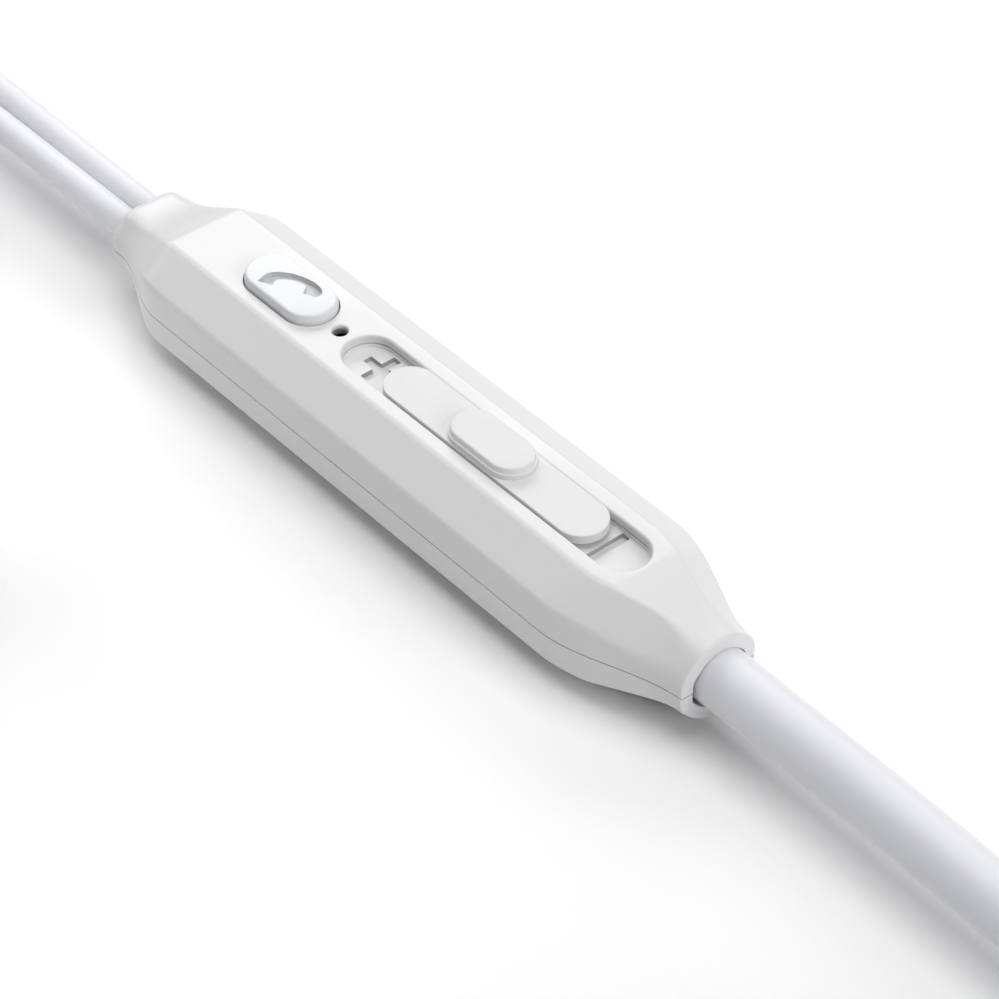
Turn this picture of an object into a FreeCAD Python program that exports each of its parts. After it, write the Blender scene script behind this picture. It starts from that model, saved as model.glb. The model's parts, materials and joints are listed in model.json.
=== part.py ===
import FreeCAD, Part
import math
import os

# Wired stereo earphones with an in-line remote that is also the split of the cord.
# The remote lies on its flat back: origin under its middle, +X towards the main cord and its plug,
# -X towards the two ear cords, +Z up out of the button face.  Millimetres.
# The cords' spare length is put away: the main cord in a tied hank past +X with the plug lying on it,
# the ear cords in two hanks, one on the other, under one tie past -X, each ending in its earbud.

Vector = FreeCAD.Vector

# ---- driving dimensions: remote ----
REMOTE_LENGTH = 40.0
REMOTE_WIDTH = 7.84
REMOTE_HEIGHT = 5.72
PARTING_Z = REMOTE_HEIGHT / 2          # the seam between the two shells, and the cords' height
TOP_FACE_WIDTH = 4.10
SIDE_RISE = 1.63                       # the upright side above the seam, before the bevel
SIDE_DROP = 1.43                       # the same below the seam
WALL = 0.40                            # shell thickness under the top face
CORD_AXIS_Z = 2.93

SLOT_X = 5.37
SLOT_LENGTH = 19.55
SLOT_WIDTH = 2.82
TRAY_FLOOR_Z = 5.05                    # the engraved floor seen at both ends of the slot
TRAY_THICKNESS = 0.45
TRAY_RIM = 0.30                        # how far the tray reaches past the slot all round
ENGRAVING_DEPTH = 0.20
SYMBOL_BAR = 0.49                      # width of the bars of the plus and the minus
SYMBOL_Y = 0.19
PLUS_X = -2.58
PLUS_LENGTH = 1.96
MINUS_X = 12.77
MINUS_LENGTH = 2.10

PLATE_X = 5.50                         # slider plate at rest
PLATE_LENGTH = 13.94
PLATE_WIDTH = 2.48
PLATE_BOTTOM_Z = 5.38
PLATE_TOP_Z = 5.81
PAD_X = 5.43
PAD_LENGTH = 4.55
PAD_WIDTH = 2.16
PAD_TOP_Z = 6.36
SLIDE_TRAVEL = 5.10                    # 2.60 towards the ear cords, 2.50 towards the main cord
FOOT_LENGTH = 3.60                     # the foot under the plate, in the tray's long hole
FOOT_WIDTH = 1.10
FOOT_BOTTOM_Z = 4.75
LEVER_LENGTH = 1.20
LEVER_WIDTH = 0.90

BUTTON_X = -8.82
BUTTON_LENGTH = 5.31
BUTTON_WIDTH = 2.68
BUTTON_TOP_Z = 6.20
BUTTON_TRAVEL = 0.30
BUTTON_GAP = 0.10
BUTTON_RIM_Z = 5.86                    # where the crown steps in by CROWN_STEP all round
CROWN_STEP = 0.12
PLUNGER_TOP_Z = 4.45
PLUNGER_RADIUS = 0.60
SWITCH_WELL_Z = 3.20                   # bottom of the switch's well

MIC_X = -5.24
MIC_HOLE_RADIUS = 0.34
MIC_FLARE = 0.12
CAPSULE_TOP_Z = 3.90
PART_TOP_Z = 4.10                      # highest parts on the board

BOARD_TOP_Z = 2.80
BOARD_THICKNESS = 0.60
BOARD_WIDTH = 5.20
BOARD_FROM_X = -14.0
BOARD_TO_X = 13.0
RIB_PLACES = (-11.5, -4.0, 3.0, 11.0)  # ribs under the board
EAR_CLAMP_X = (-16.1, -14.9)
MAIN_CLAMP_X = (13.8, 15.1)

# ---- driving dimensions: cords ----
MAIN_DIAMETER = 2.80
EAR_DIAMETER = 1.50
EAR_OFFSET_Y = 0.76                    # the two ear cords leave side by side
TIE_THICKNESS = 0.50
MAIN_TIE_X = 79.4
MAIN_TIE_WIDTH = 4.0
EAR_TIE_X = -46.5
EAR_TIE_WIDTH = 3.0

# each route is picked by hand: out of the remote, down to the surface, into the hank
MAIN_ROUTE = [(13.4, 0, 2.93), (25.5, 0, 2.93), (38, -0.1, 2.78), (50, 0, 1.6), (60, 0, 1.4)]
MAIN_TAIL_ROUTE = [
    (83.4, -19.6, 7.0), (72.4, -19.5, 7.2), (62.4, -20.8, 8.9), (53.4, -21.2, 9.8),
    (47.5, -15.3, 10.2), (47.5, -7.1, 10.9), (53.4, -1.2, 11.7), (61.7, -1.2, 12.2),
]
LEFT_ROUTE = [
    (-14.6, 0.76, 2.93), (-24.6, 0.76, 2.93), (-35, 0.75, 3.05), (-40, 0.5, 3.6), (-44.5, 0, 3.75),
]
RIGHT_ROUTE = [
    (-14.6, -0.76, 2.93), (-24.6, -0.76, 2.93), (-35, -0.75, 2.8), (-40, -0.5, 2.3), (-44.5, 0, 2.25),
]
LEFT_TAIL_ROUTE = [
    (-47, 0, 5.25), (-55, -0.1, 5.2), (-62, -1.1, 4.3), (-68.5, -2, 3.28), (-74, -2, 4.05),
]
RIGHT_TAIL_ROUTE = [
    (-51, -15, 0.75), (-44.5, -15.2, 0.76), (-39, -17.3, 0.95), (-33.4, -18.5, 3.28),
    (-27.9, -18.5, 4.05),
]

# hanks: racetracks of cord; near and far are the loops' centres, inner the innermost turn's radius
MAIN_HANK = {"near": 57.4, "far": 91.0, "y": -11.2, "inner": 8.4, "across": 2, "layers": 3}
EAR_HANK = {"near": -40.0, "far": -53.0, "y": -7.5, "inner": 4.5, "across": 3, "layers": 2}

# ---- driving dimensions: plug and earbuds ----
PLUG_RADIUS = 1.75                     # the 3.5 mm contacts
PLUG_CORE_RADIUS = 0.90
TIP_END = 3.6                          # lengths along the plug, from the tip
INSULATOR_WIDTH = 0.6
RING_WIDTH = 2.1
SHOULDER = 14.0
GRIP_START = 14.8
GRIP_END = 27.0
PLUG_RELIEF_END = 38.0
GRIP_RADIUS = 3.1
PLUG_REAR_X = 57.8                     # where the cord enters its strain relief
PLUG_Y = -1.2
PLUG_Z = 12.2

BUD_RADIUS = 4.9                       # housing
TIP_RADIUS = 5.5                       # silicone ear tip
BUD_LENGTH = 22.0                      # ear tip to the end of the strain relief
BUD_TILT = 8.0                         # degrees, lying on its ear tip with its tail down
LEFT_BUD = (-90.3, -2.0)               # where the front of the ear tip lies
RIGHT_BUD = (-11.6, -18.5)
BUD_FRONT_Z = 6.34                     # height of its axis there, with the ear tip's skirt on the surface


def export(name, shape):
    shape.exportStep("parts/%s.step" % name)
    NODES[name] = shape


def closed_wire(points):
    corners = [Vector(*p) for p in points]
    return Part.makePolygon(corners + [corners[0]])


def box(x0, x1, y0, y1, z0, z1):
    return Part.makeBox(x1 - x0, y1 - y0, z1 - z0, Vector(x0, y0, z0))


def cylinder(radius, x, y, z0, z1):
    return Part.makeCylinder(radius, z1 - z0, Vector(x, y, z0))


def rod(radius, x0, x1, y, z):
    return Part.makeCylinder(radius, x1 - x0, Vector(x0, y, z), Vector(1, 0, 0))


def stadium_wire(x, length, width, z, y=0.0):
    r = width / 2
    half = length / 2 - r
    a = Part.LineSegment(Vector(x - half, y - r, z), Vector(x + half, y - r, z))
    b = Part.Arc(Vector(x + half, y - r, z), Vector(x + half + r, y, z), Vector(x + half, y + r, z))
    c = Part.LineSegment(Vector(x + half, y + r, z), Vector(x - half, y + r, z))
    d = Part.Arc(Vector(x - half, y + r, z), Vector(x - half - r, y, z), Vector(x - half, y - r, z))
    return Part.Wire([e.toShape() for e in (a, b, c, d)])


def stadium(x, length, width, z0, z1, y=0.0):
    return Part.Face(stadium_wire(x, length, width, z0, y)).extrude(Vector(0, 0, z1 - z0))


def turned(profile):
    """A solid of revolution about the X axis, from (along, radius) corners."""
    face = Part.Face(closed_wire([(u, 0, r) for u, r in profile]))
    return face.revolve(Vector(0, 0, 0), Vector(1, 0, 0), 360)


def fuse(shapes):
    return shapes[0].fuse(shapes[1:])


# ---- cords ----
def smooth_path(route, name):
    """Straight runs joined by tangent arcs, each arc as large as its two runs allow."""
    points = [Vector(*p) for p in route]
    edges = []
    radii = []
    start = points[0]
    for before, corner, after in zip(points, points[1:], points[2:]):
        run_in = corner - before
        run_out = after - corner
        reach = 0.45 * min(run_in.Length, run_out.Length)
        turn = run_in.getAngle(run_out)
        radius = reach / math.tan(turn / 2)
        run_in.normalize()
        run_out.normalize()
        arc_start = corner - run_in * reach
        arc_end = corner + run_out * reach
        inward = run_out - run_in
        inward.normalize()
        to_centre = radius / math.cos(turn / 2)
        middle = corner + inward * (to_centre - radius)
        edges.append(Part.LineSegment(start, arc_start).toShape())
        edges.append(Part.Arc(arc_start, middle, arc_end).toShape())
        radii.append(round(radius, 1))
        start = arc_end
    edges.append(Part.LineSegment(start, points[-1]).toShape())
    print(name, "bend radii", radii)
    return Part.Wire(edges)


def tube(route, diameter, name):
    path = smooth_path(route, name)
    heading = Vector(*route[1]) - Vector(*route[0])
    ring = Part.Wire(Part.Circle(Vector(*route[0]), heading, diameter / 2).toShape())
    solid = path.makePipeShell([ring], True, False)
    expected = math.pi * diameter ** 2 / 4 * path.Length
    print(name, "length %.1f, volume / (section x length) %.4f" % (path.Length, solid.Volume / expected))
    return solid


def hank(spec, diameter, z):
    """The outer shape of a hank: a racetrack ring as wide and as high as its turns."""
    middle_x = (spec["near"] + spec["far"]) / 2
    straight = abs(spec["far"] - spec["near"])
    outer = spec["inner"] + (spec["across"] - 0.5) * diameter
    inner = spec["inner"] - 0.5 * diameter
    top = z + spec["layers"] * diameter
    ring = stadium(middle_x, straight + 2 * outer, 2 * outer, z, top, spec["y"])
    return ring.cut(stadium(middle_x, straight + 2 * inner, 2 * inner, z - 1, top + 1, spec["y"]))


def tie(spec, diameter, height, x, width):
    """A flat strap round both sides of a hank; its underside lies on the surface."""
    outer = spec["inner"] + (spec["across"] - 0.5) * diameter
    y0 = spec["y"] - outer
    y1 = spec["y"] + outer
    t = TIE_THICKNESS
    strap = box(x - width / 2, x + width / 2, y0 - t, y1 + t, 0, height + t)
    strap = strap.makeFillet(1.2 * t, [e for e in strap.Edges if abs(e.Length - width) < 1e-6])
    return strap.cut(box(x - width, x + width, y0, y1, t, height))


# ---- remote shells ----
def stations():
    """(x, half width, bevel edge above the seam, half top width, top above the seam) along the remote."""
    w = REMOTE_WIDTH / 2
    t = TOP_FACE_WIDTH / 2
    h = REMOTE_HEIGHT / 2
    end = REMOTE_LENGTH / 2
    return [
        (-end, 2.36, 0.62, 1.30, 1.73),
        (-end + 1.1, 2.38, 0.66, 1.30, 1.76),
        (-17.8, 2.75, 0.88, 1.45, 1.95),
        (-16.6, 3.35, 1.25, 1.80, 2.40),
        (-15.5, 3.76, 1.55, 2.02, 2.78),
        (-14.4, 3.90, SIDE_RISE, t, h),
        (-13.2, w, SIDE_RISE, t, h),
        (13.2, w, SIDE_RISE, t, h),
        (14.2, 3.85, 1.60, 2.03, h),
        (15.2, 3.60, 1.48, 1.82, 2.85),
        (16.2, 3.22, 1.32, 1.42, 2.72),
        (17.2, 2.83, 1.10, 1.12, 2.52),
        (18.3, 2.44, 0.94, 0.96, 2.32),
        (19.3, 2.20, 0.88, 0.90, 2.18),
        (end, 2.12, 0.86, 0.88, 2.12),
    ]


def shell_blank(upward):
    drop = SIDE_DROP / SIDE_RISE
    wires = []
    for x, w, side, t, top in stations():
        if upward:
            up = PARTING_Z + side
            peak = PARTING_Z + top
        else:
            up = PARTING_Z - side * drop
            peak = PARTING_Z - top
        near_side = [(x, -w, PARTING_Z), (x, -w, up), (x, -t, peak)]
        far_side = [(x, t, peak), (x, w, up), (x, w, PARTING_Z)]
        wires.append(closed_wire(near_side + far_side))
    return Part.makeLoft(wires, True, True)


def cavity(upward):
    """The hollow of one shell: the long middle, and a pocket at each end for a cord clamp."""
    sign = 1 if upward else -1
    inset = 0.57
    w = REMOTE_WIDTH / 2 - inset
    t = TOP_FACE_WIDTH / 2 - 0.25
    side = (SIDE_RISE if upward else SIDE_DROP) - 0.29
    top = REMOTE_HEIGHT / 2 - WALL
    wires = []
    for x in (-14.2, 13.2):
        section = [(-w, 0), (-w, side), (-t, top), (t, top), (w, side), (w, 0)]
        wires.append(closed_wire([(x, y, PARTING_Z + sign * z) for y, z in section]))
    middle = Part.makeLoft(wires, True, True)
    ear_pocket = box(-16.2, -14.2, -2.35, 2.35, PARTING_Z - 1.3, PARTING_Z + 1.3)
    main_pocket = box(13.2, 15.3, -2.1, 2.1, PARTING_Z - 1.7, PARTING_Z + 1.5)
    return middle.fuse([ear_pocket, main_pocket])


def cord_bores():
    outside = REMOTE_LENGTH / 2 + 1
    main = rod(MAIN_DIAMETER / 2 + 0.17, MAIN_CLAMP_X[1], outside, 0, CORD_AXIS_Z)
    ear_start = EAR_CLAMP_X[0]
    r = EAR_DIAMETER / 2
    pair = [rod(r + 0.03, -outside, ear_start, y, CORD_AXIS_Z) for y in (-EAR_OFFSET_Y, EAR_OFFSET_Y)]
    web = box(-outside, ear_start, -EAR_OFFSET_Y, EAR_OFFSET_Y, CORD_AXIS_Z - r, CORD_AXIS_Z + r)
    return [main, web] + pair


def tray_envelope():
    length = SLOT_LENGTH + 2 * TRAY_RIM
    width = SLOT_WIDTH + 2 * TRAY_RIM
    return stadium(SLOT_X, length, width, TRAY_FLOOR_Z - TRAY_THICKNESS, REMOTE_HEIGHT - WALL)


def make_upper_shell():
    cuts = [cavity(True), tray_envelope()]
    cuts += cord_bores()
    cuts.append(stadium(SLOT_X, SLOT_LENGTH, SLOT_WIDTH, 5, 7))
    hole_length = BUTTON_LENGTH + 2 * BUTTON_GAP
    hole_width = BUTTON_WIDTH + 2 * BUTTON_GAP
    cuts.append(stadium(BUTTON_X, hole_length, hole_width, 5, 7))
    cuts.append(cylinder(MIC_HOLE_RADIUS, MIC_X, 0, 5, 7))
    flare_foot = Vector(MIC_X, 0, REMOTE_HEIGHT - MIC_FLARE)
    cuts.append(Part.makeCone(MIC_HOLE_RADIUS, MIC_HOLE_RADIUS + MIC_FLARE, MIC_FLARE, flare_foot))
    return shell_blank(True).cut(cuts)


def make_lower_shell():
    shell = shell_blank(False).cut([cavity(False)] + cord_bores())
    board_bottom = BOARD_TOP_Z - BOARD_THICKNESS
    ribs = [box(x, x + 0.6, -1.7, 1.7, WALL - 0.1, board_bottom) for x in RIB_PLACES]
    return shell.fuse(ribs).removeSplitter()


def bar(x, along, across):
    """One bar of a symbol, cut into the tray's floor."""
    y0 = SYMBOL_Y - across / 2
    bottom = TRAY_FLOOR_Z - ENGRAVING_DEPTH
    return box(x - along / 2, x + along / 2, y0, y0 + across, bottom, REMOTE_HEIGHT)


def make_symbol_tray():
    tray = tray_envelope()
    tray = tray.cut(stadium(SLOT_X, SLOT_LENGTH + 0.1, SLOT_WIDTH + 0.1, TRAY_FLOOR_Z, 6))
    lever_slot = stadium(SLOT_X, FOOT_LENGTH + SLIDE_TRAVEL + 0.7, FOOT_WIDTH + 0.4, 4, 6)
    plus_long = bar(PLUS_X, PLUS_LENGTH, SYMBOL_BAR)
    plus_cross = bar(PLUS_X, SYMBOL_BAR, PLUS_LENGTH)
    minus = bar(MINUS_X, SYMBOL_BAR, MINUS_LENGTH)
    return tray.cut([lever_slot, plus_long, plus_cross, minus])


# ---- remote controls ----
def make_call_button():
    shell_under = REMOTE_HEIGHT - WALL
    skirt = stadium(BUTTON_X, BUTTON_LENGTH, BUTTON_WIDTH, shell_under - 0.1, BUTTON_RIM_Z)
    crown_length = BUTTON_LENGTH - 2 * CROWN_STEP
    crown_width = BUTTON_WIDTH - 2 * CROWN_STEP
    crown = stadium(BUTTON_X, crown_length, crown_width, BUTTON_RIM_Z, BUTTON_TOP_Z)
    flange_top = shell_under - 0.02
    flange = stadium(BUTTON_X, BUTTON_LENGTH + 0.7, BUTTON_WIDTH + 0.5, flange_top - 0.33, flange_top)
    stem = cylinder(0.75, BUTTON_X, 0, PLUNGER_TOP_Z, shell_under - 0.2)
    body = fuse([skirt, crown, flange, stem])
    arch = cylinder(1.35, BUTTON_X + 0.05, -0.72, BUTTON_TOP_Z - ENGRAVING_DEPTH, 7)
    arch = arch.cut(cylinder(1.10, BUTTON_X + 0.05, -0.95, 5, 8))
    arch = arch.common(box(BUTTON_X - 2, BUTTON_X + 2, -0.6, 2, 5, 8))
    return body.cut(arch).removeSplitter()


def make_switch_body():
    block = box(BUTTON_X - 1.6, BUTTON_X + 1.6, -1.3, 1.3, BOARD_TOP_Z, 4.0)
    return block.cut(cylinder(PLUNGER_RADIUS + 0.1, BUTTON_X, 0, SWITCH_WELL_Z, 5))


def make_slider_plate():
    plate = stadium(PLATE_X, PLATE_LENGTH, PLATE_WIDTH, PLATE_BOTTOM_Z, PLATE_TOP_Z)
    foot = stadium(PLATE_X, FOOT_LENGTH, FOOT_WIDTH, FOOT_BOTTOM_Z, PLATE_BOTTOM_Z + 0.1)
    return plate.fuse(foot).removeSplitter()


def make_thumb_pad():
    middle = (PLATE_TOP_Z + PAD_TOP_Z) / 2
    step = 2 * CROWN_STEP
    skirt = stadium(PAD_X, PAD_LENGTH + step, PAD_WIDTH + step, PLATE_TOP_Z, middle)
    crown = stadium(PAD_X, PAD_LENGTH, PAD_WIDTH, middle, PAD_TOP_Z)
    return skirt.fuse(crown).removeSplitter()


def make_potentiometer():
    body = box(SLOT_X - 6, SLOT_X + 6, -1.8, 1.8, BOARD_TOP_Z, PART_TOP_Z)
    reach = (LEVER_LENGTH + SLIDE_TRAVEL + 0.9) / 2
    half = LEVER_WIDTH / 2 + 0.2
    return body.cut(box(SLOT_X - reach, SLOT_X + reach, -half, half, SWITCH_WELL_Z, 5))


def make_potentiometer_lever():
    half_length = LEVER_LENGTH / 2
    half_width = LEVER_WIDTH / 2
    bottom = SWITCH_WELL_Z + 0.15
    return box(PLATE_X - half_length, PLATE_X + half_length, -half_width, half_width, bottom, FOOT_BOTTOM_Z)


# ---- remote inside ----
def make_microphone_boot():
    top = REMOTE_HEIGHT - WALL
    return cylinder(0.52, MIC_X, 0, CAPSULE_TOP_Z, top).cut(cylinder(0.36, MIC_X, 0, 3, 6))


def make_ear_clamp():
    x0, x1 = EAR_CLAMP_X
    block = box(x0, x1, -2.2, 2.2, PARTING_Z - 1.2, PARTING_Z + 1.2)
    holes = [rod(EAR_DIAMETER / 2, x0 - 1, x1 + 1, y, CORD_AXIS_Z) for y in (-EAR_OFFSET_Y, EAR_OFFSET_Y)]
    return block.cut(holes)


def make_main_clamp():
    x0, x1 = MAIN_CLAMP_X
    block = box(x0, x1, -2.0, 2.0, PARTING_Z - 1.6, PARTING_Z + 1.5)
    return block.cut(rod(MAIN_DIAMETER / 2, x0 - 1, x1 + 1, 0, CORD_AXIS_Z))


def wires(x0, x1, places):
    """Short insulated wires from a cord's end to the board, one solid each."""
    return Part.makeCompound([rod(0.15, x0, x1, y, BOARD_TOP_Z + 0.15) for y in places])


# ---- plug: u runs from the tip's end towards the cord ----
def on_plug(shape):
    moved = shape.copy()
    moved.rotate(Vector(0, 0, 0), Vector(0, 0, 1), 180)
    moved.translate(Vector(PLUG_REAR_X + PLUG_RELIEF_END, PLUG_Y, PLUG_Z))
    return moved


def contact(u0, u1):
    """One ring of the plug, round its core."""
    return turned([(u0, PLUG_CORE_RADIUS), (u0, PLUG_RADIUS), (u1, PLUG_RADIUS), (u1, PLUG_CORE_RADIUS)])


def make_plug_parts():
    core = PLUG_CORE_RADIUS
    r = PLUG_RADIUS
    neck = 1.3                             # the groove behind the tip's ball
    nose = [(0, 0), (0, 0.45), (0.9, 1.55), (1.5, r), (2.0, r), (2.7, neck), (3.2, neck), (3.4, r)]
    gaps = [TIP_END + i * (INSULATOR_WIDTH + RING_WIDTH) for i in range(3)]
    rings = [u + INSULATOR_WIDTH for u in gaps]
    insulators = Part.makeCompound([contact(u, u + INSULATOR_WIDTH) for u in gaps])
    flange = 2.6
    sleeve = [
        (rings[2], core), (rings[2], r), (SHOULDER, r), (SHOULDER, flange),
        (GRIP_START, flange), (GRIP_START, core),
    ]
    bore = MAIN_DIAMETER / 2
    entry = PLUG_RELIEF_END - 4.0          # the cord's jacket goes this far into the strain relief
    core_end = 18.0
    grip = [
        (GRIP_START, core), (GRIP_START, GRIP_RADIUS - 0.2), (15.6, GRIP_RADIUS), (24, GRIP_RADIUS),
        (GRIP_END, 2.5), (GRIP_END, 0), (core_end, 0), (core_end, core),
    ]
    relief = [
        (GRIP_END, 0), (GRIP_END, 2.3), (PLUG_RELIEF_END, bore + 0.4), (PLUG_RELIEF_END, bore),
        (entry, bore), (entry, 0),
    ]
    export("plug_tip", on_plug(turned(nose + [(TIP_END, r), (TIP_END, 0)])))
    export("plug_insulators", on_plug(insulators))
    export("plug_ring_left", on_plug(contact(rings[0], gaps[1])))
    export("plug_ring_right", on_plug(contact(rings[1], gaps[2])))
    export("plug_sleeve", on_plug(turned(sleeve)))
    export("plug_core", on_plug(rod(core, TIP_END, core_end, 0, 0)))
    export("plug_grip", on_plug(turned(grip)))
    export("plug_strain_relief", on_plug(turned(relief)))


# ---- earbuds: u runs from the front of the ear tip towards the cord ----
def place_bud(shape, spot, heading):
    """heading +1: the cord leaves towards +X; -1: towards -X."""
    moved = shape.copy()
    moved.rotate(Vector(0, 0, 0), Vector(0, 1, 0), BUD_TILT)
    if heading < 0:
        moved.rotate(Vector(0, 0, 0), Vector(0, 0, 1), 180)
    moved.translate(Vector(spot[0], spot[1], BUD_FRONT_Z))
    return moved


def make_bud(side, spot, heading):
    r = BUD_RADIUS
    tip = [
        (0.3, 2.15), (0.3, 2.7), (1.2, 3.9), (3.0, 5.0), (5.0, TIP_RADIUS), (7.0, 5.4), (7.0, 4.95),
        (5.0, 5.0), (3.2, 4.5), (1.9, 3.7), (1.6, 2.9), (6.4, 2.9), (6.4, 2.15),
    ]
    front = [
        (1.0, 1.6), (1.0, 2.1), (6.6, 2.1), (6.6, 3.2), (7.6, r), (9.8, r), (9.8, r - 0.6), (8.0, r - 0.6),
        (7.2, 1.6),
    ]
    rear = [
        (9.8, r - 0.6), (9.8, r), (12.2, r - 0.4), (14.8, 2.7), (16.0, 2.2), (16.0, 1.3), (14.6, 1.3),
        (11.8, r - 1.2),
    ]
    relief = [(14.9, 0.75), (14.9, 1.25), (16.0, 1.25), (16.0, 1.7), (BUD_LENGTH, 1.05), (BUD_LENGTH, 0.75)]
    frame = [(8.1, r - 1.1), (8.1, r - 0.65), (9.7, r - 0.65), (9.7, 1.9), (9.3, 1.9), (9.3, r - 1.1)]
    pieces = {
        "ear_tip": turned(tip),
        "front_housing": turned(front),
        "rear_cover": turned(rear),
        "nozzle_mesh": rod(1.6, 1.15, 1.35, 0, 0),
        "driver_frame": turned(frame),
        "driver_diaphragm": rod(r - 1.15, 8.2, 8.3, 0, 0),
        "driver_magnet": rod(1.85, 8.5, 9.9, 0, 0),
        "bud_strain_relief": turned(relief),
    }
    for name, shape in pieces.items():
        export("%s_%s" % (side, name), place_bud(shape, spot, heading))


def make_cords():
    main_hank = hank(MAIN_HANK, MAIN_DIAMETER, 0.0)
    main_height = MAIN_HANK["layers"] * MAIN_DIAMETER
    main_tie = tie(MAIN_HANK, MAIN_DIAMETER, main_height, MAIN_TIE_X, MAIN_TIE_WIDTH)
    layer = EAR_HANK["layers"] * EAR_DIAMETER
    right_hank = hank(EAR_HANK, EAR_DIAMETER, 0.0)
    left_hank = hank(EAR_HANK, EAR_DIAMETER, layer)
    ear_tie = tie(EAR_HANK, EAR_DIAMETER, 2 * layer, EAR_TIE_X, EAR_TIE_WIDTH)
    export("main_cord", tube(MAIN_ROUTE, MAIN_DIAMETER, "main_cord"))
    export("main_cord_hank", main_hank.cut(main_tie))
    export("main_cord_tail", tube(MAIN_TAIL_ROUTE, MAIN_DIAMETER, "main_cord_tail"))
    export("main_hank_tie", main_tie)
    export("left_cord", tube(LEFT_ROUTE, EAR_DIAMETER, "left_cord"))
    export("left_cord_hank", left_hank)
    export("left_cord_tail", tube(LEFT_TAIL_ROUTE, EAR_DIAMETER, "left_cord_tail"))
    export("right_cord", tube(RIGHT_ROUTE, EAR_DIAMETER, "right_cord"))
    export("right_cord_hank", right_hank.cut(ear_tie))
    export("right_cord_tail", tube(RIGHT_TAIL_ROUTE, EAR_DIAMETER, "right_cord_tail"))
    export("ear_hank_tie", ear_tie)


def make_remote():
    export("upper_shell", make_upper_shell())
    export("lower_shell", make_lower_shell())
    export("symbol_tray", make_symbol_tray())
    export("call_button", make_call_button())
    plunger_bottom = SWITCH_WELL_Z + BUTTON_TRAVEL + 0.05
    export("switch_plunger", cylinder(PLUNGER_RADIUS, BUTTON_X, 0, plunger_bottom, PLUNGER_TOP_Z))
    export("call_switch", make_switch_body())
    export("slider_plate", make_slider_plate())
    export("thumb_pad", make_thumb_pad())
    export("volume_potentiometer", make_potentiometer())
    export("potentiometer_lever", make_potentiometer_lever())
    board_bottom = BOARD_TOP_Z - BOARD_THICKNESS
    half = BOARD_WIDTH / 2
    export("circuit_board", box(BOARD_FROM_X, BOARD_TO_X, -half, half, board_bottom, BOARD_TOP_Z))
    export("microphone_capsule", cylinder(1.0, MIC_X, 0, BOARD_TOP_Z, CAPSULE_TOP_Z))
    export("microphone_boot", make_microphone_boot())
    export("ear_cord_clamp", make_ear_clamp())
    export("main_cord_clamp", make_main_clamp())
    export("ear_wires", wires(-14.6, -12.6, (-1.05, -0.5, 0.5, 1.05)))
    export("main_wires", wires(11.6, 13.4, (-0.9, -0.3, 0.3, 0.9)))


NODES = {}
os.makedirs("parts", exist_ok=True)
make_remote()
make_cords()
make_plug_parts()
make_bud("left", LEFT_BUD, 1)
make_bud("right", RIGHT_BUD, -1)
for node, made in sorted(NODES.items()):
    low = made.BoundBox
    extent = (low.XMin, low.XMax, low.YMin, low.YMax, low.ZMin, low.ZMax)
    state = "valid" if made.isValid() else "NOT VALID"
    print("%-24s %d solid  %s" % (node, len(made.Solids), state), " ".join("%.2f" % v for v in extent))
print(len(NODES), "nodes")
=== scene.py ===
import json
import math
import bmesh
import bpy
from mathutils import Matrix, Vector


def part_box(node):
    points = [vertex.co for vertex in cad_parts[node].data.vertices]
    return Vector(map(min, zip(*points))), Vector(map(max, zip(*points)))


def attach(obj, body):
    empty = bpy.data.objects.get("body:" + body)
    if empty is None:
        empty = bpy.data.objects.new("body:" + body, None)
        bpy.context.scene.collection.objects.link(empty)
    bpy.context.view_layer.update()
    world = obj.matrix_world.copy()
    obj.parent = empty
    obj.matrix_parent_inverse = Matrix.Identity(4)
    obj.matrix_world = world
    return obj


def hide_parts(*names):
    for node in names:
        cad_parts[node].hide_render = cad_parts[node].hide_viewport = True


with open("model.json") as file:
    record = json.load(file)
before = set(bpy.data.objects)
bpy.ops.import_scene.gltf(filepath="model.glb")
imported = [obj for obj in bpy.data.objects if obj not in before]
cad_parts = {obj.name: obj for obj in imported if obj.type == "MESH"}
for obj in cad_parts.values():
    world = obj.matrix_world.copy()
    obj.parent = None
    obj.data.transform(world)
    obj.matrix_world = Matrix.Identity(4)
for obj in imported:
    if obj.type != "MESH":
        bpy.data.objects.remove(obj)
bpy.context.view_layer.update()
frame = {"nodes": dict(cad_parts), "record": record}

# Wired stereo earphones with an in-line remote. X runs along the remote, from the ear cords' end to
# the main cord's end, and Z is up.
MM = 0.001                             # metres in a millimetre
SCENE = bpy.context.scene


def extent(node):
    """Lowest and highest corner of a CAD node, in millimetres."""
    low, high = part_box(node)
    return low / MM, high / MM


def middle(node):
    low, high = extent(node)
    return (low + high) / 2


# ---------------------------------------------------------------- camera, light and floor
CAMERA_PLACE = (93.778, -74.648, 107.379)
CAMERA_TURN = 49.664                   # degrees about the vertical
CAMERA_RISE = 42.120                   # degrees above the surface
CAMERA_LENS = 127.81                   # focal length on the sensor below
CAMERA_SENSOR = 36
CAMERA_CLIP = (0.005, 20)              # metres

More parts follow.
